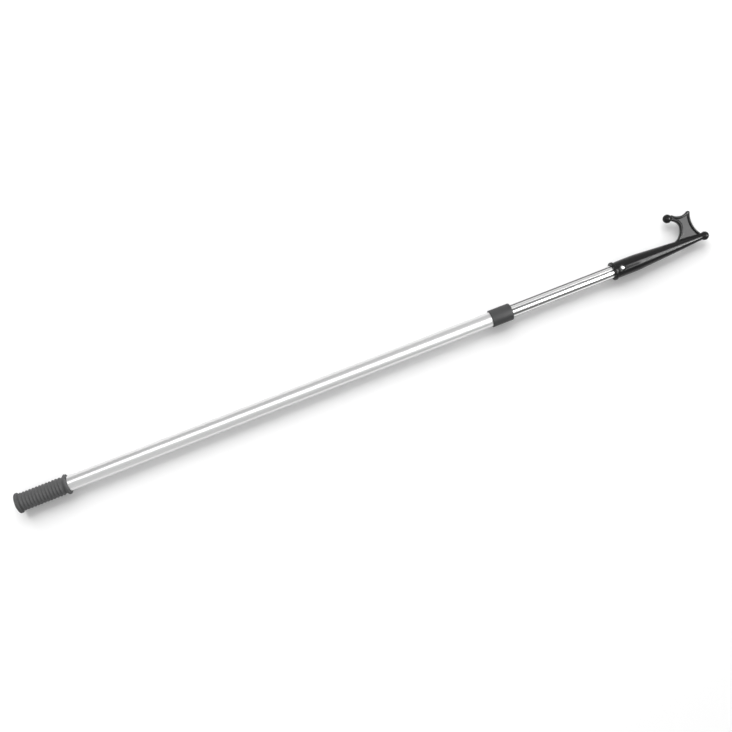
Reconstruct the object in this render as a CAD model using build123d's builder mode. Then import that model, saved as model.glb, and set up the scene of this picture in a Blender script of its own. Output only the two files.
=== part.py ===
from build123d import *
import math
import os

# Telescopic boat hook with an internal eccentric twist lock.
# Lengths are in millimetres. A station is a distance along the pole from its butt end.
# The pole lies along +X with the hook towards +Y, and the origin is under the middle of the whole hook.

# Driving dimensions
overall_length = 1229.1
grip_flange_radius = 16.9
hook_ball_radius = 7.5
hook_ball_station = 1170.5
hook_ball_reach = 49.9

# Tubes
outer_radius = 12.5
outer_bore_radius = 11.35
outer_tube_start = 3.0
outer_tube_end = 848.2
inner_radius = 11.0
inner_bore_radius = 9.5
inner_tube_start = 255.0
inner_tube_end = 1092.0
flute_count = 8
flute_first_angle = 36.5
flute_depth = 0.5
flute_cutter_radius = 4.0
tube_edge_break = 0.3
assembly_gap = 0.05

# Hand grip
grip_end = 86.2
grip_body_radius = 13.8
grip_flange_width = 4.4
grip_flange_rounding = 2.1
grip_flange_foot = 6.8
rib_count = 13
rib_first_station = 9.0
rib_pitch = 5.4
rib_half_width = 1.9
rib_height = 1.2
bead_width = 5.8
bead_foot = 77.6

# Butt plug
butt_plug_length = 27.0
butt_plug_wall = 2.5
butt_seal_station = 22.0
seal_section_radius = 1.0

# Lock collar and guide bush
collar_start = 822.2
collar_end = 859.7
collar_radius = 14.5
collar_lip = 2.8
collar_lip_radius = 11.3
collar_nose_rounding = 2.5
collar_edge_break = 0.6
bush_running_gap = 0.06

# Twist lock, measured back from the lower end of the inner tube
lock_spigot_length = 35.0
lock_shoulder_radius = 10.8
lock_shoulder_width = 5.0
guide_journal_radius = 8.0
guide_journal_length = 10.0
guide_ring_radius = 11.25
guide_ring_end_gap = 0.3
guide_ring_split = 2.0
eccentricity = 0.6
cam_journal_radius = 6.5
cam_journal_length = 18.0
cam_ring_radius = 10.6
cam_ring_end_gap = 0.3
thrust_washer_radius = 9.6
thrust_washer_thickness = 1.2
end_washer_radius = 9.0
end_washer_thickness = 1.3
spring_washer_radius = 3.9
spring_washer_thickness = 0.9
spring_washer_split = 0.8
cam_screw_radius = 2.0
cam_screw_length = 15.0
cam_screw_head_radius = 3.8
cam_screw_head_height = 2.8
hex_key_radius = 1.7
hex_key_depth = 1.6
cross_pin_station = 275.0
cross_pin_radius = 1.5
cross_pin_bore_radius = 0.9
cross_pin_half_length = 10.4
cross_pin_slit = 0.5

# Float plug
float_plug_start = 1000.0
float_plug_length = 48.0

# Hook head
head_start = 1046.9
lip_width = 4.6
lip_radius = 15.7
lip_rounding = 1.1
neck_groove_station = 1053.1
neck_groove_radius = 13.4
socket_start = 1055.8
socket_start_radius = 13.8
socket_middle = 1072.0
socket_middle_radius = 14.1
socket_end = 1089.5
socket_end_radius = 14.05
shaft_first = 1115.2
shaft_first_radius = 12.25
shaft_middle = 1150.4
shaft_middle_radius = 10.0
shaft_second = 1184.5
shaft_second_radius = 7.4
shaft_end_radius = 5.1
tip_ball_radius = 7.5
core_start_radius = 9.0
core_end = 1146.0
core_end_radius = 5.0
rim_thickness = 8.4
web_thickness = 4.0
rim_width = 3.4
web_floor = 10.2

# Rivets
rivet_station = 1061.8
rivet_seat = 12.7
rivet_seat_radius = 4.7
rivet_head_radius = 3.35
rivet_head_height = 1.5
rivet_shank_radius = 1.6
rivet_tail_radius = 2.4
rivet_tail_length = 2.2
rivet_pull_radius = 0.9
mandrel_head_radius = 1.6
mandrel_head_height = 1.4

# Frame: everything is placed from the pole's axis
butt_x = -overall_length / 2
hook_reach = hook_ball_reach + hook_ball_radius
axis_y = (grip_flange_radius - hook_reach) / 2
axis_z = grip_flange_radius
butt_centre = (butt_x, axis_y, axis_z)
pole_axis = Axis(butt_centre, (1, 0, 0))
profile_plane = Plane(origin=butt_centre, x_dir=(1, 0, 0), z_dir=(0, -1, 0))
hook_plane = Plane(origin=butt_centre, x_dir=(1, 0, 0), z_dir=(0, 0, 1))
mid_plane = Plane(origin=butt_centre, x_dir=(1, 0, 0), z_dir=(0, 0, 1))
cam_axis = Axis((butt_x, axis_y + eccentricity, axis_z), (1, 0, 0))
os.makedirs("parts", exist_ok=True)


def section(station, offset=0.0):
    """Plane across the pole at a station, with its x towards the hook and its y up."""
    return Plane(origin=(butt_x + station, axis_y + offset, axis_z), x_dir=(0, 1, 0), z_dir=(1, 0, 0))


def keep(piece, name):
    """Label a finished piece and write it as its own STEP file."""
    piece.part.label = name
    export_step(piece.part, f"parts/{name}.step")


# Outer tube
with BuildPart() as outer_tube:
    with BuildSketch(section(outer_tube_start)):
        Circle(outer_radius)
        Circle(outer_bore_radius, mode=Mode.SUBTRACT)
    extrude(amount=outer_tube_end - outer_tube_start)
    chamfer(outer_tube.edges().filter_by(GeomType.CIRCLE), tube_edge_break)
keep(outer_tube, "outer_tube")

# Hand grip: a closed sleeve with a flange at the butt, a ribbed body and a round bead at its mouth
rib_section_radius = (rib_half_width**2 + rib_height**2) / (2 * rib_height)
rib_centre_radius = grip_body_radius + rib_height - rib_section_radius
with BuildPart() as hand_grip:
    with BuildSketch(profile_plane) as grip_section:
        with BuildLine():
            Polyline(
                (0, 0),
                (0, grip_flange_radius),
                (grip_flange_width, grip_flange_radius),
                (grip_flange_foot, grip_body_radius),
                (bead_foot, grip_body_radius),
                (grip_end - bead_width, grip_flange_radius),
                (grip_end, grip_flange_radius),
                (grip_end, 0),
                close=True,
            )
        make_face()
        flange_corners = grip_section.vertices().group_by(Axis.Z)[-1]
        fillet(flange_corners, grip_flange_rounding)
        for rib in range(rib_count):
            with Locations((rib_first_station + rib * rib_pitch, rib_centre_radius)):
                Circle(rib_section_radius)
    revolve(axis=pole_axis)
    with BuildSketch(section(outer_tube_start)):
        Circle(outer_radius)
    extrude(amount=grip_end, mode=Mode.SUBTRACT)
keep(hand_grip, "hand_grip")

# Butt plug: a cup pressed into the tube, open towards the pole, with a groove for its seal
with BuildPart() as butt_plug:
    with BuildSketch(section(outer_tube_start)):
        Circle(outer_bore_radius - assembly_gap)
    extrude(amount=butt_plug_length)
    with BuildSketch(section(outer_tube_start + butt_plug_wall)):
        Circle(outer_bore_radius - 2 * seal_section_radius - butt_plug_wall)
    extrude(amount=butt_plug_length, mode=Mode.SUBTRACT)
    with BuildSketch(profile_plane):
        with Locations((butt_seal_station, outer_bore_radius)):
            Rectangle(2.6 * seal_section_radius, 4 * seal_section_radius)
    revolve(axis=pole_axis, mode=Mode.SUBTRACT)
keep(butt_plug, "butt_plug")

with BuildPart() as butt_plug_seal:
    with BuildSketch(profile_plane):
        with Locations((butt_seal_station, outer_bore_radius - seal_section_radius)):
            Circle(seal_section_radius)
    revolve(axis=pole_axis)
keep(butt_plug_seal, "butt_plug_seal")

# Lock collar: a sleeve over the tube's mouth, closed to a lip around the inner tube
with BuildPart() as lock_collar:
    with BuildSketch(section(collar_start)):
        Circle(collar_radius)
        Circle(outer_radius, mode=Mode.SUBTRACT)
    extrude(amount=collar_end - collar_lip - collar_start)
    with BuildSketch(section(collar_end - collar_lip)):
        Circle(collar_radius)
        Circle(collar_lip_radius, mode=Mode.SUBTRACT)
    extrude(amount=collar_lip)
    collar_rims = lock_collar.edges().filter_by(GeomType.CIRCLE)
    nose = collar_rims.group_by(Axis.X)[-1].sort_by(SortBy.RADIUS)[-1]
    tail = collar_rims.group_by(Axis.X)[0].sort_by(SortBy.RADIUS)[-1]
    fillet(nose, collar_nose_rounding)
    fillet(tail, collar_edge_break)
keep(lock_collar, "lock_collar")

# Guide bush: a hard ring between the tube's end and the collar's lip
with BuildPart() as guide_bush:
    with BuildSketch(section(outer_tube_end)):
        Circle(outer_radius)
        Circle(inner_radius + bush_running_gap, mode=Mode.SUBTRACT)
    extrude(amount=collar_end - collar_lip - outer_tube_end)
keep(guide_bush, "guide_bush")

# Inner tube: eight shallow flutes along its whole length, cross-drilled for its pin and rivets
with BuildPart() as inner_tube:
    with BuildSketch(section(inner_tube_start)):
        Circle(inner_radius)
        Circle(inner_bore_radius, mode=Mode.SUBTRACT)
        with PolarLocations(
            inner_radius + flute_cutter_radius - flute_depth, flute_count, start_angle=flute_first_angle
        ):
            Circle(flute_cutter_radius, mode=Mode.SUBTRACT)
    extrude(amount=inner_tube_end - inner_tube_start)
    for station, radius in ((cross_pin_station, cross_pin_radius), (rivet_station, rivet_shank_radius)):
        with BuildSketch(mid_plane):
            with Locations((station, 0)):
                Circle(radius + assembly_gap)
        extrude(amount=inner_radius + 1, both=True, mode=Mode.SUBTRACT)
keep(inner_tube, "inner_tube")

# Lock body: spigot, shoulder, round journal for the guide ring and eccentric journal for the cam ring
shoulder_start = inner_tube_start - lock_shoulder_width
guide_journal_start = shoulder_start - guide_journal_length
cam_journal_start = guide_journal_start - cam_journal_length
with BuildPart() as lock_body:
    with BuildSketch(section(inner_tube_start)):
        Circle(inner_bore_radius - assembly_gap)
    extrude(amount=lock_spigot_length)
    with BuildSketch(section(shoulder_start)):
        Circle(lock_shoulder_radius)
    extrude(amount=lock_shoulder_width)
    with BuildSketch(section(guide_journal_start)):
        Circle(guide_journal_radius)
    extrude(amount=guide_journal_length)
    with BuildSketch(section(cam_journal_start, eccentricity)):
        Circle(cam_journal_radius)
    extrude(amount=cam_journal_length)
    with BuildSketch(section(cam_journal_start, eccentricity)):
        Circle(cam_screw_radius)
    extrude(amount=cam_screw_length, mode=Mode.SUBTRACT)
    with BuildSketch(mid_plane):
        with Locations((cross_pin_station, 0)):
            Circle(cross_pin_radius)
    extrude(amount=inner_radius, both=True, mode=Mode.SUBTRACT)
keep(lock_body, "lock_body")

# Cross pin: a slit spring pin through the inner tube and the spigot
with BuildPart() as lock_cross_pin:
    with BuildSketch(mid_plane):
        with Locations((cross_pin_station, 0)):
            Circle(cross_pin_radius)
            Circle(cross_pin_bore_radius, mode=Mode.SUBTRACT)
        with Locations((cross_pin_station + cross_pin_radius, 0)):
            Rectangle(2 * (cross_pin_radius - cross_pin_bore_radius) + 1, cross_pin_slit, mode=Mode.SUBTRACT)
    extrude(amount=cross_pin_half_length, both=True)
keep(lock_cross_pin, "lock_cross_pin")

# Guide ring: split, so that it springs lightly on the bore and stays still while the lock body turns
with BuildPart() as guide_ring:
    with BuildSketch(section(guide_journal_start + guide_ring_end_gap)):
        Circle(guide_ring_radius)
        Circle(guide_journal_radius + assembly_gap, mode=Mode.SUBTRACT)
        with Locations((0, -guide_ring_radius)):
            Rectangle(guide_ring_split, guide_ring_radius, mode=Mode.SUBTRACT)
    extrude(amount=guide_journal_length - 2 * guide_ring_end_gap)
keep(guide_ring, "guide_ring")

# Thrust washer: sits on the eccentric journal against the round journal's end
thrust_washer_start = guide_journal_start - thrust_washer_thickness
with BuildPart() as cam_thrust_washer:
    with BuildSketch(section(thrust_washer_start, eccentricity)):
        Circle(thrust_washer_radius)
        Circle(cam_journal_radius + assembly_gap, mode=Mode.SUBTRACT)
    extrude(amount=thrust_washer_thickness)
keep(cam_thrust_washer, "cam_thrust_washer")

# Cam ring: its outside is round about the pole's axis, its bore about the eccentric journal
cam_ring_start = cam_journal_start + cam_ring_end_gap
with BuildPart() as cam_ring:
    with BuildSketch(section(cam_ring_start)):
        Circle(cam_ring_radius)
        with Locations((eccentricity, 0)):
            Circle(cam_journal_radius + assembly_gap, mode=Mode.SUBTRACT)
    extrude(amount=thrust_washer_start - cam_ring_end_gap - cam_ring_start)
keep(cam_ring, "cam_ring")

# End washer, spring washer and screw on the journal's end
end_washer_start = cam_journal_start - end_washer_thickness
with BuildPart() as cam_end_washer:
    with BuildSketch(section(end_washer_start, eccentricity)):
        Circle(end_washer_radius)
        Circle(cam_screw_radius + assembly_gap, mode=Mode.SUBTRACT)
    extrude(amount=end_washer_thickness)
keep(cam_end_washer, "cam_end_washer")

spring_washer_start = end_washer_start - spring_washer_thickness
with BuildPart() as cam_spring_washer:
    with BuildSketch(section(spring_washer_start, eccentricity)):
        Circle(spring_washer_radius)
        Circle(cam_screw_radius + assembly_gap, mode=Mode.SUBTRACT)
        with Locations((spring_washer_radius, 0)):
            Rectangle(spring_washer_radius, spring_washer_split, mode=Mode.SUBTRACT)
    extrude(amount=spring_washer_thickness)
keep(cam_spring_washer, "cam_spring_washer")

screw_head_start = spring_washer_start - cam_screw_head_height
with BuildPart() as cam_screw:
    with BuildSketch(section(screw_head_start, eccentricity)):
        Circle(cam_screw_head_radius)
    extrude(amount=cam_screw_head_height)
    with BuildSketch(section(spring_washer_start, eccentricity)):
        Circle(cam_screw_radius)
    extrude(amount=cam_screw_length)
    with BuildSketch(section(screw_head_start, eccentricity)):
        RegularPolygon(hex_key_radius, 6)
    extrude(amount=hex_key_depth, mode=Mode.SUBTRACT)
keep(cam_screw, "cam_screw")

# Float plug: closed-cell foam in the upper end of the inner tube
with BuildPart() as float_plug:
    with BuildSketch(section(float_plug_start)):
        Circle(inner_bore_radius - assembly_gap)
    extrude(amount=float_plug_length)
keep(float_plug, "float_plug")

# Hook head. The web's outline has its corners here, in station and reach from the pole's axis.
throat_foot = (1170.0, 8.2)
throat_low = (1181.5, 17.2)
throat_side = (1186.5, 30.0)
throat_high = (1184.3, 37.5)
throat_top = (1178.0, 43.0)
crown_start = (1179.0, 52.8)
crown_middle = (1195.5, 46.1)
crown_end = (1206.4, 49.2)
prong_nose = (1209.8, 49.3)
prong_front = (1210.6, 46.2)
front_middle = (1207.2, 28.5)
front_foot = (1217.0, 4.0)
tip_ball_station = overall_length - tip_ball_radius
shaft_end = tip_ball_station - math.sqrt(tip_ball_radius**2 - shaft_end_radius**2)
neck_root = (hook_ball_station + 2.5, hook_ball_reach - 1.0)

with BuildSketch(hook_plane) as web_outline:
    with BuildLine():
        ThreePointArc(throat_foot, throat_low, throat_side)
        ThreePointArc(throat_side, throat_high, throat_top)
        Polyline(throat_top, neck_root, crown_start)
        ThreePointArc(crown_start, crown_middle, crown_end)
        ThreePointArc(crown_end, prong_nose, prong_front)
        ThreePointArc(prong_front, front_middle, front_foot)
        Polyline(front_foot, (front_foot[0], 0), (throat_foot[0], 0), throat_foot)
    make_face()

# The pocket leaves a rim along the web's free edges and stops short of the shaft
with BuildSketch(hook_plane) as web_pocket:
    add(web_outline.sketch_local)
    offset(amount=-rim_width)
    with Locations((hook_ball_station, 0)):
        Rectangle(overall_length, 2 * web_floor, mode=Mode.SUBTRACT)

with BuildPart() as hook_head:
    add(web_outline.sketch)
    extrude(amount=rim_thickness / 2, both=True)
    for side in (1, -1):
        with BuildSketch(hook_plane.offset(side * web_thickness / 2)):
            add(web_pocket.sketch_local)
        extrude(amount=side * rim_thickness, mode=Mode.SUBTRACT)
    # Socket, tapered shaft and tip ball, turned about the pole's axis
    with BuildSketch(profile_plane) as head_section:
        with BuildLine():
            Polyline(
                (head_start, 0),
                (head_start, lip_radius),
                (head_start + lip_width, lip_radius),
                (neck_groove_station, neck_groove_radius),
                (socket_start, socket_start_radius),
            )
            ThreePointArc(
                (socket_start, socket_start_radius),
                (socket_middle, socket_middle_radius),
                (socket_end, socket_end_radius),
            )
            Polyline(
                (socket_end, socket_end_radius),
                (shaft_first, shaft_first_radius),
                (shaft_middle, shaft_middle_radius),
                (shaft_second, shaft_second_radius),
                (shaft_end, shaft_end_radius),
            )
            ThreePointArc(
                (shaft_end, shaft_end_radius),
                (tip_ball_station, tip_ball_radius),
                (overall_length, 0),
            )
            Line((overall_length, 0), (head_start, 0))
        make_face()
        fillet(head_section.vertices().group_by(Axis.Z)[-1], lip_rounding)
    revolve(axis=pole_axis)
    with Locations((butt_x + hook_ball_station, axis_y + hook_ball_reach, axis_z)):
        Sphere(hook_ball_radius, rotation=(0, 0, 180))
    # Bore for the inner tube and the moulding core beyond it
    with BuildSketch(profile_plane):
        with BuildLine():
            Polyline(
                (head_start, 0),
                (head_start, inner_radius + assembly_gap),
                (inner_tube_end, inner_radius + assembly_gap),
                (inner_tube_end, core_start_radius),
                (core_end, core_end_radius),
                (core_end, 0),
                close=True,
            )
        make_face()
    revolve(axis=pole_axis, mode=Mode.SUBTRACT)
    # Rivet holes, and the flat seats under the rivets' heads
    with BuildSketch(mid_plane):
        with Locations((rivet_station, 0)):
            Circle(rivet_shank_radius + assembly_gap)
    extrude(amount=lip_radius, both=True, mode=Mode.SUBTRACT)
    for side in (1, -1):
        with BuildSketch(mid_plane.offset(side * rivet_seat)):
            with Locations((rivet_station, 0)):
                Circle(rivet_seat_radius)
        extrude(amount=side * lip_radius, mode=Mode.SUBTRACT)
keep(hook_head, "hook_head")

# Rivets: a domed head on its seat, a hollow shank through both walls and a spread tail inside the tube
rivet_axis = Axis((butt_x + rivet_station, axis_y, axis_z), (0, 0, 1))
tail_top = math.sqrt(inner_bore_radius**2 - rivet_tail_radius**2) - assembly_gap
with BuildPart() as head_rivets:
    with BuildSketch(profile_plane):
        with BuildLine():
            Polyline(
                (rivet_station + rivet_pull_radius, rivet_seat + rivet_head_height),
                (rivet_station + rivet_pull_radius, tail_top - rivet_tail_length),
                (rivet_station + rivet_tail_radius, tail_top - rivet_tail_length),
                (rivet_station + rivet_tail_radius, tail_top),
                (rivet_station + rivet_shank_radius, tail_top),
                (rivet_station + rivet_shank_radius, rivet_seat),
                (rivet_station + rivet_head_radius, rivet_seat),
            )
            ThreePointArc(
                (rivet_station + rivet_head_radius, rivet_seat),
                (rivet_station + 0.8 * rivet_head_radius, rivet_seat + 0.62 * rivet_head_height),
                (rivet_station + rivet_pull_radius, rivet_seat + rivet_head_height),
            )
        make_face()
    revolve(axis=rivet_axis)
    mirror(about=mid_plane)
keep(head_rivets, "head_rivets")

mandrel_top = rivet_seat + rivet_head_height - 0.5
mandrel_neck = tail_top - rivet_tail_length
with BuildPart() as rivet_mandrels:
    with BuildSketch(profile_plane):
        with BuildLine():
            Polyline(
                (rivet_station, mandrel_top),
                (rivet_station + rivet_pull_radius, mandrel_top),
                (rivet_station + rivet_pull_radius, mandrel_neck),
                (rivet_station + mandrel_head_radius, mandrel_neck),
                (rivet_station + mandrel_head_radius, mandrel_neck - mandrel_head_height),
                (rivet_station, mandrel_neck - mandrel_head_height),
                close=True,
            )
        make_face()
    revolve(axis=rivet_axis)
    mirror(about=mid_plane)
keep(rivet_mandrels, "rivet_mandrels")
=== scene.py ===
import math

import bmesh
import bpy
import numpy as np
from mathutils import Matrix, Vector


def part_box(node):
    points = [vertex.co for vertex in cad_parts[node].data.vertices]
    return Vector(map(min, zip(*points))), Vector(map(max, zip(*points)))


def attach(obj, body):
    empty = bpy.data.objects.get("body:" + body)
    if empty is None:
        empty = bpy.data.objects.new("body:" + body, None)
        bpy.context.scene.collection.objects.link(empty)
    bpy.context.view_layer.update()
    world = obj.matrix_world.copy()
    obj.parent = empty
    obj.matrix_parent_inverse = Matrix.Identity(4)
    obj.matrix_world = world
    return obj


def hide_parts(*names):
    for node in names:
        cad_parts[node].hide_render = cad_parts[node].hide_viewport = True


# Telescopic boat hook, seen from straight above. Blender units are metres. The pieces are shaped in
# millimetres in pole coordinates: station from the butt, reach towards the hook, height above the axis.

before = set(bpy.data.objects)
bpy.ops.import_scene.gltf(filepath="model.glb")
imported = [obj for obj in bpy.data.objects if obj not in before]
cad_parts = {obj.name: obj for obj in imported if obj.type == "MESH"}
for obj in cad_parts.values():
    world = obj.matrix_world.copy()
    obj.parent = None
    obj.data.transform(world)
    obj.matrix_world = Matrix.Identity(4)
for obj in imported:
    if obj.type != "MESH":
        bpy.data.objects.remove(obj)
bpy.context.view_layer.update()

MM = 0.001
grip_lo, grip_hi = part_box("hand_grip")
tube_lo, tube_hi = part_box("outer_tube")
inner_lo, inner_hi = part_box("inner_tube")
collar_lo, collar_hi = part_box("lock_collar")
head_lo, head_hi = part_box("hook_head")
rivets_lo, rivets_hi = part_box("head_rivets")
AXIS_Y = (tube_lo.y + tube_hi.y) / 2
AXIS_Z = (tube_lo.z + tube_hi.z) / 2
BUTT_X = grip_lo.x


def at(station, reach=0.0, height=0.0):
    """World place, in metres, of a point given in pole coordinates, in millimetres."""
    return Vector((BUTT_X + station * MM, AXIS_Y + reach * MM, AXIS_Z + height * MM))


def station_of(x):
    """Station in millimetres of a world x."""
    return (x - BUTT_X) / MM


def radius_of(low, high):
    """Radius in millimetres of a round CAD piece, from its box."""
    return (high.z - low.z) / 2 / MM


# ---------------------------------------------------------------------------------------------
# Mesh helpers


def new_object(name, points, faces):
    """A smooth-shaded mesh object from points in pole coordinates."""
    mesh = bpy.data.meshes.new(name)
    world = np.asarray(points, float) * MM + np.array(at(0))
    mesh.from_pydata(world.tolist(), [], faces)
    mesh.update()
    mesh.polygons.foreach_set("use_smooth", [True] * len(mesh.polygons))
    piece = bpy.data.objects.new(name, mesh)
    bpy.context.scene.collection.objects.link(piece)
    return piece


def sharpen(piece, degrees):
    """Edges sharper than this angle are shaded as edges."""
    piece.data.set_sharp_from_angle(angle=math.radians(degrees))


def lathe(name, outline, steps=160, relief=None):
    """A closed turned piece from a closed outline of (station, radius) points; radius 0 is on the axis.

    relief(turn, radius) is how far the surface is sunk there, with the turn measured from the top
    towards the hook.
    """
    points = []
    rings = []
    for station, radius in outline:
        if radius == 0.0:
            rings.append([len(points)] * steps)
            points.append((station, 0.0, 0.0))
            continue
        first = len(points)
        for step in range(steps):
            turn = 2 * math.pi * step / steps
            here = radius - relief(turn, radius) if relief else radius
            points.append((station, here * math.sin(turn), here * math.cos(turn)))
        rings.append(list(range(first, first + steps)))
    faces = []
    for ring, following in zip(rings, rings[1:] + rings[:1]):
        for step in range(steps):
            after = (step + 1) % steps
            corners = [ring[step], ring[after], following[after], following[step]]
            face = list(dict.fromkeys(corners))
            if len(face) > 2:
                faces.append(face)
    piece = new_object(name, points, faces)
    tidy_normals(piece)
    return piece


def tidy_normals(piece):
    """Make the faces of a closed mesh look outwards."""
    work = bmesh.new()
    work.from_mesh(piece.data)
    bmesh.ops.recalc_face_normals(work, faces=work.faces)
    work.to_mesh(piece.data)
    work.free()


def arc(centre, radius, start, end, steps):
    """Points on a circle's arc in a profile, from one angle to another, in degrees."""
    angles = np.radians(np.linspace(start, end, steps + 1))
    return [(centre[0] + radius * math.cos(a), centre[1] + radius * math.sin(a)) for a in angles]


def stand_in(piece, node, body):
    """The piece stands for a CAD node and moves with its body."""
    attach(piece, body)
    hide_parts(node)


# ---------------------------------------------------------------------------------------------
# Distance fields, for the moulded head


def smooth_union(a, b, blend):
    """Join two distance fields with a fillet of about this size."""
    h = np.clip(0.5 + 0.5 * (b - a) / blend, 0.0, 1.0)
    return b + (a - b) * h - blend * h * (1.0 - h)


def smooth_cut(a, b, blend):
    """Take field b away from field a, with the edge rounded."""
    return -smooth_union(-a, b, blend)


def rounded_box(u, v, half_u, half_v, radius):
    """Distance to a rectangle with rounded corners, centred on u = v = 0."""
    qu = np.abs(u) - half_u + radius
    qv = np.abs(v) - half_v + radius
    outside = np.hypot(np.maximum(qu, 0.0), np.maximum(qv, 0.0))
    return outside + np.minimum(np.maximum(qu, qv), 0.0) - radius


def outline_distance(u, v, outline):
    """Signed distance to a closed polygon, negative inside."""
    nearest = np.full(u.shape, np.inf)
    sign = np.ones(u.shape)
    previous = outline[-1]
    for corner in outline:
        ex, ey = previous[0] - corner[0], previous[1] - corner[1]
        wx, wy = u - corner[0], v - corner[1]
        along = np.clip((wx * ex + wy * ey) / (ex * ex + ey * ey), 0.0, 1.0)
        nearest = np.minimum(nearest, (wx - ex * along) ** 2 + (wy - ey * along) ** 2)
        above = v >= corner[1]
        below = v < previous[1]
        turn = ex * wy > ey * wx
        flip = (above & below & turn) | (~above & ~below & ~turn)
        sign = np.where(flip, -sign, sign)
        previous = corner
    return sign * np.sqrt(nearest)


def through(a, b, c, steps):
    """Points on the circular arc from a through b to c."""
    ax, ay = a
    bx, by = b
    cx, cy = c
    d = 2 * (ax * (by - cy) + bx * (cy - ay) + cx * (ay - by))
    ux = ((ax**2 + ay**2) * (by - cy) + (bx**2 + by**2) * (cy - ay) + (cx**2 + cy**2) * (ay - by)) / d
    uy = ((ax**2 + ay**2) * (cx - bx) + (bx**2 + by**2) * (ax - cx) + (cx**2 + cy**2) * (bx - ax)) / d
    radius = math.hypot(ax - ux, ay - uy)
    start = math.atan2(ay - uy, ax - ux)
    middle = (math.atan2(by - uy, bx - ux) - start) % (2 * math.pi)
    end = (math.atan2(cy - uy, cx - ux) - start) % (2 * math.pi)
    if middle > end:
        end -= 2 * math.pi
    turns = [start + end * k / steps for k in range(steps + 1)]
    return [(ux + radius * math.cos(turn), uy + radius * math.sin(turn)) for turn in turns]


def surface_net(field, low, cell):
    """Points and quads on the zero surface of a sampled field that is negative inside."""
    inside = field < 0
    n = np.array(field.shape)
    count = np.zeros(n - 1, int)
    for di in (0, 1):
        for dj in (0, 1):
            for dk in (0, 1):
                count += inside[di : n[0] - 1 + di, dj : n[1] - 1 + dj, dk : n[2] - 1 + dk]
    active = (count > 0) & (count < 8)
    index = np.full(n - 1, -1)
    index[active] = np.arange(active.sum())
    points = (np.argwhere(active) + 0.5) * cell + low
    quads = []
    for axis in range(3):
        first = [slice(None)] * 3
        second = [slice(None)] * 3
        first[axis] = slice(0, n[axis] - 1)
        second[axis] = slice(1, n[axis])
        low_in = inside[tuple(first)]
        high_in = inside[tuple(second)]
        b, c = (axis + 1) % 3, (axis + 2) % 3
        for starts_inside in (True, False):
            edges = np.argwhere((low_in != high_in) & (low_in == starts_inside))
            edges = edges[(edges[:, b] > 0) & (edges[:, c] > 0)]
            ring = []
            for db, dc in ((-1, -1), (0, -1), (0, 0), (-1, 0)):
                cells = edges.copy()
                cells[:, b] += db
                cells[:, c] += dc
                ring.append(index[cells[:, 0], cells[:, 1], cells[:, 2]])
            ring = np.stack(ring if starts_inside else ring[::-1], axis=1)
            quads.append(ring)
    return points, np.concatenate(quads)


RELAX_SHARE = 0.6
LEAST_SLOPE = 0.25
SLOPE_STEP = 0.02
SETTLE_ROUNDS = 6


def drop(points, distance):
    """Move the points along the field's slope onto its zero surface."""
    slope = np.zeros_like(points)
    for k, step in enumerate(SLOPE_STEP * np.eye(3)):
        slope[:, k] = (distance(points + step) - distance(points - step)) / (2 * SLOPE_STEP)
    size = np.maximum((slope**2).sum(1), LEAST_SLOPE)
    return points - slope * (distance(points) / size)[:, None]


def settle(points, quads, distance):
    """Spread the points evenly over the surface: relax each towards its neighbours, then drop it back."""
    pairs = np.concatenate([quads[:, [k, (k + 1) % 4]] for k in range(4)])
    pairs = np.concatenate([pairs, pairs[:, ::-1]])
    owners = pairs[:, 0]
    share = np.bincount(owners, minlength=len(points))[:, None]
    for turn in range(SETTLE_ROUNDS):
        if turn < SETTLE_ROUNDS - 1:
            others = points[pairs[:, 1]]
            totals = [np.bincount(owners, others[:, k], len(points)) for k in range(3)]
            middle = np.stack(totals, axis=1) / share
            points = points + RELAX_SHARE * (middle - points)
        points = drop(drop(points, distance), distance)
    return points


# ---------------------------------------------------------------------------------------------
# Sizes read from the CAD parts' boxes

FLANGE = radius_of(grip_lo, grip_hi)
GRIP_END = station_of(grip_hi.x)
TUBE_RADIUS = radius_of(tube_lo, tube_hi)
TUBE_START = station_of(tube_lo.x)
TUBE_END = station_of(tube_hi.x)
COLLAR_RADIUS = radius_of(collar_lo, collar_hi)
COLLAR_START = station_of(collar_lo.x)
COLLAR_END = station_of(collar_hi.x)
INNER_RADIUS = radius_of(inner_lo, inner_hi)
INNER_START = station_of(inner_lo.x)
INNER_END = station_of(inner_hi.x)
HEAD_START = station_of(head_lo.x)
HEAD_END = station_of(head_hi.x)
RIVET = station_of((rivets_lo.x + rivets_hi.x) / 2)

# Gaps left round the tubes
SLEEVE_GAP = 0.03
BORE_GAP = 0.05

# ---------------------------------------------------------------------------------------------
# Hook head: socket, tapered shaft, tip ball, web with a raised rim, hook ball and prong

BORE_RADIUS = INNER_RADIUS + BORE_GAP
CORE_RADII = (9.0, 5.0)
CORE_END = 1146.0
LIP_WIDTH = 4.6
LIP_MIDDLE = 13.7
LIP_HALF_HEIGHT = 2.0
LIP_ROUNDING = 1.1
LIP_OVERLAP = 1.0
TIP_BALL = 7.5
HOOK_BALL = 7.5
HOOK_BALL_PLACE = (1170.5, 49.9)
RIVET_SEAT = 12.7
RIVET_SEAT_RADIUS = 4.7
RIM_WIDTH = 3.4
RIM_HALF_HEIGHT = 4.2
RIM_ROUNDING = 1.3
WEB_HALF_HEIGHT = 2.0
SHAFT_TAPER = 0.995  # cosine of the shaft's taper, which makes the radial gap a distance

# Fillets where the head's shapes join
LIP_FILLET = 0.8
TIP_FILLET = 1.3
RIM_FILLET = 1.6
BALL_FILLET = 1.6
WEB_FILLET = 2.2
SEAT_EDGE = 0.35

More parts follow.
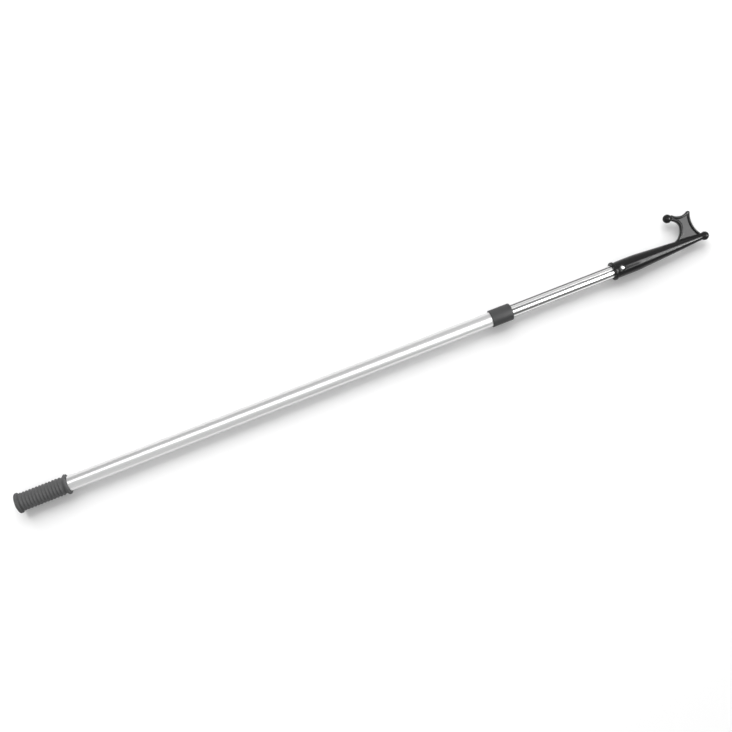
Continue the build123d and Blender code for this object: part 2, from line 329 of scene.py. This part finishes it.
# The web's outline, in station and reach
THROAT_FOOT = (1170.0, 8.2)
THROAT_LOW = (1181.5, 17.2)
THROAT_SIDE = (1186.5, 30.0)
THROAT_HIGH = (1184.3, 37.5)
THROAT_TOP = (1178.0, 43.0)
NECK_ROOT = (1173.0, 49.0)
CROWN_START = (1179.0, 52.8)
CROWN_MIDDLE = (1195.5, 46.1)
CROWN_END = (1206.4, 49.2)
PRONG_NOSE = (1209.8, 49.3)
PRONG_FRONT = (1210.6, 46.2)
FRONT_MIDDLE = (1207.2, 28.5)
FRONT_FOOT = (1216.6, 5.0)
ROOT_FRONT = (1217.0, -1.5)
ROOT_BACK = (1169.0, -1.5)

# The socket and shaft, as radii at stations
SHAFT_STATIONS = np.array(
    [1050.0, 1053.1, 1055.8, 1072.0, 1089.5, 1104.0, 1126.0, 1150.4, 1184.5, 1214.0, 1226.0]
)
SHAFT_RADII = np.array([13.5, 13.4, 13.8, 14.1, 14.05, 13.1, 11.6, 10.0, 7.4, 5.2, 5.0])


def steady_slopes(x, y):
    """Slopes at the knots for a smooth curve that doesn't overshoot."""
    steps = np.diff(y) / np.diff(x)
    before, after = steps[:-1], steps[1:]
    slopes = np.zeros(len(x))
    slopes[1:-1] = np.where(before * after > 0, 2 * before * after / (before + after), 0)
    slopes[0] = steps[0]
    slopes[-1] = steps[-1]
    return slopes


SHAFT_SLOPES = steady_slopes(SHAFT_STATIONS, SHAFT_RADII)


def shaft_radius(station):
    """Radius of the socket and shaft, smooth along the pole."""
    s = np.clip(station, SHAFT_STATIONS[0], SHAFT_STATIONS[-1])
    k = np.clip(np.searchsorted(SHAFT_STATIONS, s) - 1, 0, len(SHAFT_STATIONS) - 2)
    width = SHAFT_STATIONS[k + 1] - SHAFT_STATIONS[k]
    t = (s - SHAFT_STATIONS[k]) / width
    a, b = SHAFT_RADII[k], SHAFT_RADII[k + 1]
    da, db = SHAFT_SLOPES[k] * width, SHAFT_SLOPES[k + 1] * width
    near = (2 * t**3 - 3 * t**2 + 1) * a + (t**3 - 2 * t**2 + t) * da
    return near + (3 * t**2 - 2 * t**3) * b + (t**3 - t**2) * db


WEB_OUTLINE = (
    through(THROAT_FOOT, THROAT_LOW, THROAT_SIDE, 30)
    + through(THROAT_SIDE, THROAT_HIGH, THROAT_TOP, 20)[1:]
    + [NECK_ROOT]
    + through(CROWN_START, CROWN_MIDDLE, CROWN_END, 28)
    + through(CROWN_END, PRONG_NOSE, PRONG_FRONT, 10)[1:]
    + through(PRONG_FRONT, FRONT_MIDDLE, FRONT_FOOT, 40)[1:]
    + [ROOT_FRONT, ROOT_BACK]
)


def head_distance(p):
    """Signed distance to the moulded head."""
    station, reach, height = p[:, 0], p[:, 1], p[:, 2]
    rho = np.hypot(reach, height)
    shaft = (rho - shaft_radius(station)) * SHAFT_TAPER
    shaft = np.maximum(shaft, HEAD_START + LIP_OVERLAP - station)
    shaft = np.maximum(shaft, station - (HEAD_END - TIP_BALL))
    from_lip = station - HEAD_START - LIP_WIDTH / 2
    lip = rounded_box(from_lip, rho - LIP_MIDDLE, LIP_WIDTH / 2, LIP_HALF_HEIGHT, LIP_ROUNDING)
    body = smooth_union(shaft, lip, LIP_FILLET)
    tip = np.hypot(rho, station - (HEAD_END - TIP_BALL)) - TIP_BALL
    body = smooth_union(body, tip, TIP_FILLET)
    edge = outline_distance(station, reach, WEB_OUTLINE)
    rim = rounded_box(edge + RIM_WIDTH / 2, height, RIM_WIDTH / 2, RIM_HALF_HEIGHT, RIM_ROUNDING)
    web = np.maximum(edge, np.abs(height) - WEB_HALF_HEIGHT)
    web = smooth_union(web, rim, RIM_FILLET)
    ball_station, ball_reach = HOOK_BALL_PLACE
    off_ball = np.sqrt((station - ball_station) ** 2 + (reach - ball_reach) ** 2 + height**2)
    web = smooth_union(web, off_ball - HOOK_BALL, BALL_FILLET)
    body = smooth_union(body, web, WEB_FILLET)
    bore = np.maximum(rho - BORE_RADIUS, station - INNER_END)
    core = rho - np.interp(station, [INNER_END, CORE_END], CORE_RADII)
    core = np.maximum(core, station - CORE_END)
    body = np.maximum(body, -np.minimum(bore, core))
    across = np.hypot(station - RIVET, reach)
    seat = np.maximum(across - RIVET_SEAT_RADIUS, RIVET_SEAT - np.abs(height))
    return smooth_cut(body, seat, SEAT_EDGE)


HEAD_CELL = 0.6
HEAD_MARGIN = 2.0
HEAD_HALF_WIDTH = 17.0
HEAD_REACH = 59.0
GRID_PARTS = 24


def make_head():
    """Sample the head's distance field, net it, and settle the net on the surface."""
    low = np.array([HEAD_START - HEAD_MARGIN, -HEAD_HALF_WIDTH, -HEAD_HALF_WIDTH])
    high = np.array([HEAD_END + HEAD_MARGIN, HEAD_REACH, HEAD_HALF_WIDTH])
    counts = np.ceil((high - low) / HEAD_CELL).astype(int) + 1
    axes = [low[k] + HEAD_CELL * np.arange(counts[k]) for k in range(3)]
    grid = np.stack(np.meshgrid(*axes, indexing="ij"), axis=-1).reshape(-1, 3)
    field = np.concatenate([head_distance(part) for part in np.array_split(grid, GRID_PARTS)])
    points, quads = surface_net(field.reshape(counts), low, HEAD_CELL)
    points = settle(points, quads, head_distance)
    piece = new_object("moulded_head", points, quads.tolist())
    sharpen(piece, 50)
    return piece


head = make_head()
stand_in(head, "hook_head", "inner_pole")

# ---------------------------------------------------------------------------------------------
# Hand grip: closed butt with a flange, ribbed body, round bead at the mouth

BUTT_DISH = 0.6
DISH_RADIUS = 9.4
BUTT_LAND = 11.6
FLANGE_NOSE = 2.2
GROOVE = ((2.9, 0.0), (3.15, 0.45), (3.45, 0.45), (3.7, 0.05))  # station, and depth under the flange
FLANGE_HEEL = 3.9
HEEL_ROUNDING = 0.8
BODY = 13.4
FLANGE_FOOT = (6.2, BODY + 0.5)
FOOT_ROUNDING = 0.7
RIBS = 13
FIRST_RIB = 9.0
RIB_PITCH = 5.4
RIB_HEIGHT = 1.6
RIB_STEPS = 12
RIB_END = 0.6
BEAD = 2.9
BEAD_FOOT = 78.4
BEAD_ROUNDING = 1.0
MOUTH_BEVEL = 0.5
MOUTH_LAND = 0.6


def make_grip():
    """Turn the grip's outline."""
    outline = [(BUTT_DISH, 0.0), (BUTT_DISH, DISH_RADIUS)]
    outline += arc((BUTT_DISH, DISH_RADIUS + BUTT_DISH), BUTT_DISH, 270, 180, 4)[1:-1]
    outline += [(0.0, BUTT_LAND)]
    outline += arc((FLANGE_NOSE, FLANGE - FLANGE_NOSE), FLANGE_NOSE, 180, 90, 10)
    outline += [(station, FLANGE - depth) for station, depth in GROOVE]
    outline += arc((FLANGE_HEEL, FLANGE - HEEL_ROUNDING), HEEL_ROUNDING, 90, 30, 4)
    outline += arc(FLANGE_FOOT, FOOT_ROUNDING, 222, 262, 3)
    first = FIRST_RIB - RIB_PITCH / 2
    last = FIRST_RIB + (RIBS - 0.5) * RIB_PITCH
    for station in np.linspace(first, last, RIBS * RIB_STEPS + 1):
        wave = 0.5 + 0.5 * math.cos(2 * math.pi * (station - FIRST_RIB) / RIB_PITCH)
        outline.append((station, BODY + RIB_HEIGHT * wave))
    outline += [(last + RIB_END, BODY)]
    outline += arc((BEAD_FOOT, BODY + BEAD_ROUNDING), BEAD_ROUNDING, 270, 310, 4)
    outline += arc((GRIP_END - BEAD, FLANGE - BEAD), BEAD, 140, 0, 16)
    sleeve = TUBE_RADIUS + SLEEVE_GAP
    outline += [(GRIP_END, TUBE_RADIUS + MOUTH_LAND), (GRIP_END - MOUTH_BEVEL, sleeve)]
    outline += [(TUBE_START, sleeve), (TUBE_START, 0.0)]
    piece = lathe("grip_sleeve", outline)
    sharpen(piece, 40)
    return piece


grip = make_grip()
stand_in(grip, "hand_grip", "outer_pole")

# ---------------------------------------------------------------------------------------------
# Tubes and collar

TUBE_EDGE = 0.3
OUTER_BORE = 11.35
INNER_BORE = 9.5
FLUTES = 8
FIRST_FLUTE = math.radians(8.5)
FLUTE_DEPTH = 0.5
FLUTE_HALF_WIDTH = 3.2
FLUTE_STEPS = 40


def tube_outline(start, end, radius, bore):
    """Outline of a plain tube with broken edges."""
    return [
        (start, bore),
        (start, radius - TUBE_EDGE),
        (start + TUBE_EDGE, radius),
        (end - TUBE_EDGE, radius),
        (end, radius - TUBE_EDGE),
        (end, bore),
    ]


def flute(turn, radius):
    """How deep the inner tube's flutes are at this turn; its bore is round."""
    if radius < (INNER_BORE + INNER_RADIUS) / 2:
        return 0.0
    spacing = 2 * math.pi / FLUTES
    off = (turn - FIRST_FLUTE + spacing / 2) % spacing - spacing / 2
    reach = min(1.0, abs(off) * radius / FLUTE_HALF_WIDTH)
    return FLUTE_DEPTH * (0.5 + 0.5 * math.cos(math.pi * reach))


def mark_flutes(piece, radius):
    """Store how deep in a flute each point lies, for the material's painted shade in the flutes."""
    store = piece.data.attributes.new("flute", "FLOAT", "POINT")
    depth = []
    for point in piece.data.vertices:
        off_axis = (point.co - Vector((point.co.x, AXIS_Y, AXIS_Z))).length / MM
        depth.append(max(0.0, min(1.0, (radius - off_axis) / FLUTE_DEPTH)))
    store.data.foreach_set("value", depth)


outer = lathe("drawn_outer_tube", tube_outline(TUBE_START, TUBE_END, TUBE_RADIUS, OUTER_BORE))
sharpen(outer, 30)
stand_in(outer, "outer_tube", "outer_pole")

inner = lathe(
    "fluted_inner_tube",
    tube_outline(INNER_START, INNER_END, INNER_RADIUS, INNER_BORE),
    steps=FLUTES * FLUTE_STEPS,
    relief=flute,
)
sharpen(inner, 35)
mark_flutes(inner, INNER_RADIUS)
stand_in(inner, "inner_tube", "inner_pole")

COLLAR_NOSE = 2.5
COLLAR_TAIL = 0.7
COLLAR_LIP = 2.8
LIP_EDGE = 0.4
LIP_GAP = 0.35


def make_collar():
    """Turn the collar: a sleeve on the tube's mouth with a rounded nose and a lip round the inner tube."""
    sleeve = TUBE_RADIUS + SLEEVE_GAP
    lip = INNER_RADIUS + LIP_GAP
    outline = [(COLLAR_START, sleeve)]
    outline += arc((COLLAR_START + COLLAR_TAIL, COLLAR_RADIUS - COLLAR_TAIL), COLLAR_TAIL, 180, 90, 6)
    outline += arc((COLLAR_END - COLLAR_NOSE, COLLAR_RADIUS - COLLAR_NOSE), COLLAR_NOSE, 90, 8, 12)
    outline += arc((COLLAR_END - LIP_EDGE, lip + LIP_EDGE), LIP_EDGE, 0, -90, 4)
    outline += [(COLLAR_END - COLLAR_LIP, lip), (COLLAR_END - COLLAR_LIP, sleeve)]
    piece = lathe("collar_sleeve", outline)
    sharpen(piece, 40)
    return piece


collar = make_collar()
stand_in(collar, "lock_collar", "outer_pole")

# ---------------------------------------------------------------------------------------------
# Materials


def add_node(tree, kind, inputs=(), **settings):
    """Add a node, set its options and link or set its inputs."""
    added = tree.nodes.new(kind)
    for name, value in settings.items():
        setattr(added, name, value)
    for name, value in dict(inputs).items():
        if isinstance(value, bpy.types.NodeSocket):
            tree.links.new(value, added.inputs[name])
        else:
            added.inputs[name].default_value = value
    return added


class Shader:
    """A node material with a Principled surface and short ways to add what feeds it."""

    def __init__(self, name, **constants):
        self.material = bpy.data.materials.new(name)
        self.material.use_nodes = True
        self.tree = self.material.node_tree
        self.surface = self.tree.nodes["Principled BSDF"]
        for socket, value in constants.items():
            self.surface.inputs[socket.replace("_", " ")].default_value = value
        self.place = self.node("ShaderNodeTexCoord").outputs["Object"]

    def node(self, kind, inputs=(), **settings):
        """Add a node to the material."""
        return add_node(self.tree, kind, inputs, **settings)

    def stretched(self, scale):
        """Object coordinates scaled differently along each axis."""
        return self.node("ShaderNodeMapping", {"Vector": self.place, "Scale": scale}).outputs["Vector"]

    def noise(self, scale, detail=3.0, rough=0.55, stretch=(1, 1, 1)):
        """A noise value between 0 and 1."""
        made = self.node(
            "ShaderNodeTexNoise",
            {"Vector": self.stretched(stretch), "Scale": scale, "Detail": detail, "Roughness": rough},
        )
        return made.outputs["Fac"]

    def span(self, value, low, high):
        """Map a 0 to 1 value to a range."""
        made = self.node("ShaderNodeMapRange", {"Value": value, "To Min": low, "To Max": high})
        return made.outputs["Result"]

    def step(self, value, low, high):
        """0 below the range, 1 above it, and a straight rise between."""
        made = self.node("ShaderNodeMapRange", {"Value": value, "From Min": low, "From Max": high})
        return made.outputs["Result"]

    def sum(self, a, b):
        """Add two values."""
        return self.node("ShaderNodeMath", {0: a, 1: b}, operation="ADD").outputs["Value"]

    def mix(self, factor, a, b):
        """Blend two colours."""
        return self.node("ShaderNodeMix", {0: factor, 6: a, 7: b}, data_type="RGBA").outputs[2]

    def bump(self, height, distance, strength):
        """Bump the surface by a height value."""
        inputs = {"Height": height, "Distance": distance, "Strength": strength}
        return self.node("ShaderNodeBump", inputs).outputs["Normal"]

    def feed(self, socket, value):
        """Link a value to a socket of the surface."""
        self.tree.links.new(value, self.surface.inputs[socket])


def dress(material, *names):
    """Give a material to CAD nodes, or to pieces, by name."""
    for name in names:
        piece = bpy.data.objects[name]
        piece.data.materials.clear()
        piece.data.materials.append(material)


def grey(value):
    """A neutral colour."""
    return (value, value, value, 1.0)


# How the metal's noise is drawn out along the pole
DRAWN = (0.02, 1, 1)
CLOUDED = (0.5, 1, 1)

# The mouldings' cloudiness, and how far their texture changes their roughness
CLOUD_SCALE = 30.0
CLOUD_CONTRAST = 0.14
SPARK_ROUGHNESS = 0.04


def satin_aluminium():
    """Outer tube: drawn and satin anodised, with a fine grain along it."""
    made = Shader("outer_aluminium", Metallic=1.0)
    grain = made.noise(900.0, detail=4.0, rough=0.6, stretch=DRAWN)
    cloud = made.noise(14.0, detail=3.0, rough=0.5, stretch=CLOUDED)
    tone = made.mix(cloud, grey(0.70), grey(0.78))
    made.feed("Base Color", made.mix(made.span(grain, 0.0, 0.35), tone, grey(0.60)))
    made.feed("Roughness", made.span(grain, 0.24, 0.34))
    made.feed("Normal", made.bump(grain, distance=0.00002, strength=0.3))
    return made.material


def fluted_aluminium():
    """Inner tube: bright lands, with painted shade in the flutes, where the metal is near black and
    rougher.
    """
    made = Shader("inner_aluminium", Metallic=1.0)
    grain = made.noise(700.0, detail=3.0, rough=0.6, stretch=DRAWN)
    depth = made.node("ShaderNodeAttribute", attribute_name="flute").outputs["Fac"]
    land = made.mix(grain, grey(0.80), grey(0.88))
    # Painted shade: near-black metal stands in for the shade that falls in the flutes
    painted_flute_shade = made.mix(grain, grey(0.08), grey(0.14))
    made.feed("Base Color", made.mix(made.step(depth, 0.1, 0.7), land, painted_flute_shade))
    made.feed("Roughness", made.sum(made.span(grain, 0.16, 0.26), made.span(depth, 0.0, 0.25)))
    made.feed("Normal", made.bump(grain, distance=0.00001, strength=0.3))
    return made.material


def bright_metal(name, tone, low, high):
    """Rivets, pins and washers: bright metal with a fine drawn grain, its roughness from low to high."""
    made = Shader(name, Metallic=1.0)
    grain = made.noise(700.0, detail=3.0, rough=0.6, stretch=DRAWN)
    made.feed("Base Color", made.mix(grain, grey(tone - 0.05), grey(tone + 0.03)))
    made.feed("Roughness", made.span(grain, low, high))
    made.feed("Normal", made.bump(grain, distance=0.00001, strength=0.3))
    return made.material


def moulded(name, tone, low, high, texture, depth, specular=0.5):
    """A moulding, black or coloured: fine spark texture and slight cloudiness.

    The roughness runs from low to high. The texture is a frequency, and the depth is in metres.
    """
    made = Shader(name, Specular_IOR_Level=specular)
    spark = made.noise(texture, detail=2.0, rough=0.5)
    cloud = made.noise(CLOUD_SCALE, detail=4.0, rough=0.6)
    dark = tuple(c * (1 - CLOUD_CONTRAST) for c in tone) + (1.0,)
    light = tuple(c * (1 + CLOUD_CONTRAST) for c in tone) + (1.0,)
    made.feed("Base Color", made.mix(cloud, dark, light))
    uneven = made.span(spark, -SPARK_ROUGHNESS, SPARK_ROUGHNESS)
    made.feed("Roughness", made.sum(made.span(cloud, low, high), uneven))
    made.feed("Normal", made.bump(spark, distance=depth, strength=0.5))
    return made.material


def black(tone):
    """A near black with a touch of blue."""
    return (tone, tone, tone * 1.02)


rivet_metal = bright_metal("rivet_aluminium", tone=0.90, low=0.16, high=0.30)
pin_steel = bright_metal("plain_steel", tone=0.60, low=0.28, high=0.40)
washer_steel = bright_metal("washer_steel", tone=0.55, low=0.30, high=0.45)

grip_rubber = moulded(
    "grip_rubber", black(0.064), low=0.66, high=0.78, texture=2600.0, depth=0.00006, specular=0.4
)
collar_plastic = moulded(
    "collar_plastic", black(0.038), low=0.48, high=0.56, texture=3200.0, depth=0.00004, specular=0.25
)
head_plastic = moulded(
    "head_plastic", black(0.010), low=0.16, high=0.22, texture=3000.0, depth=0.00002, specular=0.17
)
plug_plastic = moulded("plug_plastic", black(0.05), low=0.45, high=0.55, texture=3000.0, depth=0.00003)
seal_rubber = moulded("seal_rubber", black(0.03), low=0.55, high=0.65, texture=3000.0, depth=0.00002)
bush_plastic = moulded(
    "bush_plastic", (0.80, 0.80, 0.76), low=0.40, high=0.50, texture=3000.0, depth=0.00002
)
cam_plastic = moulded(
    "cam_plastic", (0.50, 0.05, 0.035), low=0.35, high=0.45, texture=3000.0, depth=0.00002
)
float_foam = moulded(
    "float_foam", (0.74, 0.74, 0.70), low=0.75, high=0.90, texture=900.0, depth=0.0002
)

dress(satin_aluminium(), "drawn_outer_tube")
dress(fluted_aluminium(), "fluted_inner_tube")
dress(rivet_metal, "head_rivets")
dress(pin_steel, "rivet_mandrels", "lock_cross_pin", "cam_screw")
dress(washer_steel, "cam_thrust_washer", "cam_end_washer", "cam_spring_washer")
dress(grip_rubber, "grip_sleeve")
dress(collar_plastic, "collar_sleeve")
dress(head_plastic, "moulded_head")
dress(plug_plastic, "butt_plug", "lock_body")
dress(seal_rubber, "butt_plug_seal")
dress(bush_plastic, "guide_bush", "guide_ring")
dress(cam_plastic, "cam_ring")
dress(float_foam, "float_plug")

# ---------------------------------------------------------------------------------------------
# Floor, light and camera

FLOOR_HALF = 6.0

floor_mesh = bpy.data.meshes.new("floor")
corners = [(x * FLOOR_HALF, y * FLOOR_HALF, 0.0) for x, y in ((-1, -1), (1, -1), (1, 1), (-1, 1))]
floor_mesh.from_pydata(corners, [], [(0, 1, 2, 3)])
floor = bpy.data.objects.new("floor", floor_mesh)
bpy.context.scene.collection.objects.link(floor)
floor_look = Shader("floor_paper", Roughness=0.9, Specular_IOR_Level=0.0)
floor_look.feed("Base Color", floor_look.mix(floor_look.noise(3.0), grey(0.93), grey(0.95)))
floor_mesh.materials.append(floor_look.material)

# The studio's wall. WALL_LIGHT is what it sheds on things. Each WALL_GLOSS is its brightness in
# reflections, from the -Y side to the +Y side: one for directions towards the butt, one for those
# towards the hook. TURN_OF_LIGHT is the stretch of X where one becomes the other. BACKDROP is what
# the camera sees.
WALL_LIGHT = 0.59
WALL_GLOSS_BUTT = (0.82, 0.56)
WALL_GLOSS_HOOK = (0.48, 0.76)
TURN_OF_LIGHT = (-0.25, 0.20)
BACKDROP = 0.96

world = bpy.data.worlds.new("studio")
world.use_nodes = True
sky = world.node_tree
direction = add_node(sky, "ShaderNodeTexCoord").outputs["Generated"]
split = add_node(sky, "ShaderNodeSeparateXYZ", {0: direction})
ray = add_node(sky, "ShaderNodeLightPath")


def across_wall(tones):
    """A brightness that changes evenly from the -Y side to the +Y side."""
    inputs = {"Value": split.outputs["Y"], "From Min": -1.0, "To Min": tones[0], "To Max": tones[1]}
    return add_node(sky, "ShaderNodeMapRange", inputs).outputs["Result"]


def wall_mix(factor, a, b):
    """Blend two brightnesses."""
    return add_node(sky, "ShaderNodeMix", {"Factor": factor, "A": a, "B": b}).outputs["Result"]


turn_start, turn_end = TURN_OF_LIGHT
along = add_node(
    sky,
    "ShaderNodeMapRange",
    {"Value": split.outputs["X"], "From Min": turn_start, "From Max": turn_end},
)
shine = wall_mix(along.outputs["Result"], across_wall(WALL_GLOSS_BUTT), across_wall(WALL_GLOSS_HOOK))
wall = wall_mix(ray.outputs["Is Glossy Ray"], WALL_LIGHT, shine)
background = sky.nodes["Background"]
background.inputs["Color"].default_value = grey(1.0)
sky.links.new(wall_mix(ray.outputs["Is Camera Ray"], wall, BACKDROP), background.inputs["Strength"])
bpy.context.scene.world = world


def softbox(name, place, target, size, power, turn=0.0):
    """A rectangular area light that the camera doesn't see, in metres, watts and radians."""
    data = bpy.data.lights.new(name, "AREA")
    data.shape = "RECTANGLE"
    data.size, data.size_y = size
    data.energy = power
    lamp = bpy.data.objects.new(name, data)
    bpy.context.scene.collection.objects.link(lamp)
    aim = (Vector(target) - Vector(place)).to_track_quat("-Z", "Y").to_matrix().to_4x4()
    lamp.matrix_world = Matrix.Translation(place) @ aim @ Matrix.Rotation(turn, 4, "Z")
    lamp.visible_camera = False
    return lamp


LAMP_HEIGHT = 1.8


def reflected_softbox(name, x, y, size, power, turn=0.0):
    """A lamp hung over a point of the floor that is seen only as a reflection."""
    lamp = softbox(name, (x, y, LAMP_HEIGHT), (x, y, 0.0), size, power, turn)
    lamp.visible_diffuse = False


key = softbox(
    "key", place=(0.0, AXIS_Y + 3.1, 2.6), target=(0.0, AXIS_Y, 0.0), size=(4.4, 3.5), power=218.0
)
key.visible_glossy = False
reflected_softbox("strip", 0.27, -0.07, size=(3.4, 0.9), power=17.5, turn=math.radians(-35))
reflected_softbox("head_glow", 1.7, -0.72, size=(1.1, 1.9), power=90.0)
reflected_softbox("ball_spark", 2.2, -0.75, size=(0.7, 0.7), power=190.0)

POLE_TILT = math.radians(21.3)
AIM_STATION = 599.1
AIM_REACH = 2.64
CAMERA_DISTANCE = 1.5
CAMERA_LEAN = math.radians(5.0)
LENS = 44.705
SENSOR = 36.0

camera_data = bpy.data.cameras.new("camera")
camera_data.sensor_width = SENSOR
camera_data.lens = LENS
camera = bpy.data.objects.new("camera", camera_data)
bpy.context.scene.collection.objects.link(camera)
bpy.context.scene.camera = camera
look = Vector((math.sin(CAMERA_LEAN), 0.0, -math.cos(CAMERA_LEAN)))
right = Vector((math.cos(CAMERA_LEAN), 0.0, math.sin(CAMERA_LEAN)))
up = right.cross(look)
aim_point = at(AIM_STATION, AIM_REACH)
basis = Matrix((right, up, -look)).transposed().to_4x4()
roll = Matrix.Rotation(-POLE_TILT, 4, "Z")
camera.matrix_world = Matrix.Translation(aim_point - look * CAMERA_DISTANCE) @ basis @ roll

bpy.context.scene.view_settings.view_transform = "Standard"
